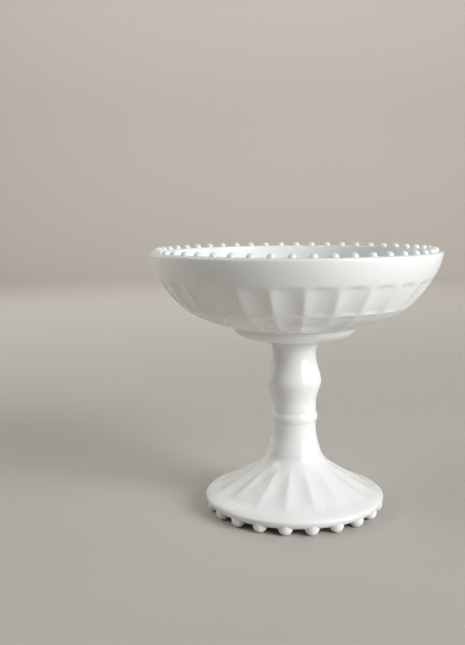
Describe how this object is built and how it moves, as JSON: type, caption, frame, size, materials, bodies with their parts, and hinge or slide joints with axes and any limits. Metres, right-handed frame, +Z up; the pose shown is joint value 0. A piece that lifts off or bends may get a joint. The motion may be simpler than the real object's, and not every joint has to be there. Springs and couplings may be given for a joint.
{
  "type": "pedestal cake and dessert bowl",
  "caption": "White opal-glass pedestal bowl: beaded rim, shallow panelled bowl, collar, turned stem with knop, and a fluted bell foot standing on beads.",
  "frame": {"origin": "on the table, under the middle of the foot", "axes": "+Z up along the stem; the front of the picture's view is -Y"},
  "size_m": [0.191, 0.191, 0.1762],
  "materials": {
    "opal_glass": "glossy white opal glass, faintly translucent at thin edges"
  },
  "bodies": {
    "root": {"bowl": "opal_glass", "rim_beads": "opal_glass", "bowl_collar": "opal_glass", "stem": "opal_glass", "foot": "opal_glass", "foot_beads": "opal_glass"}
  },
  "joints": []
}
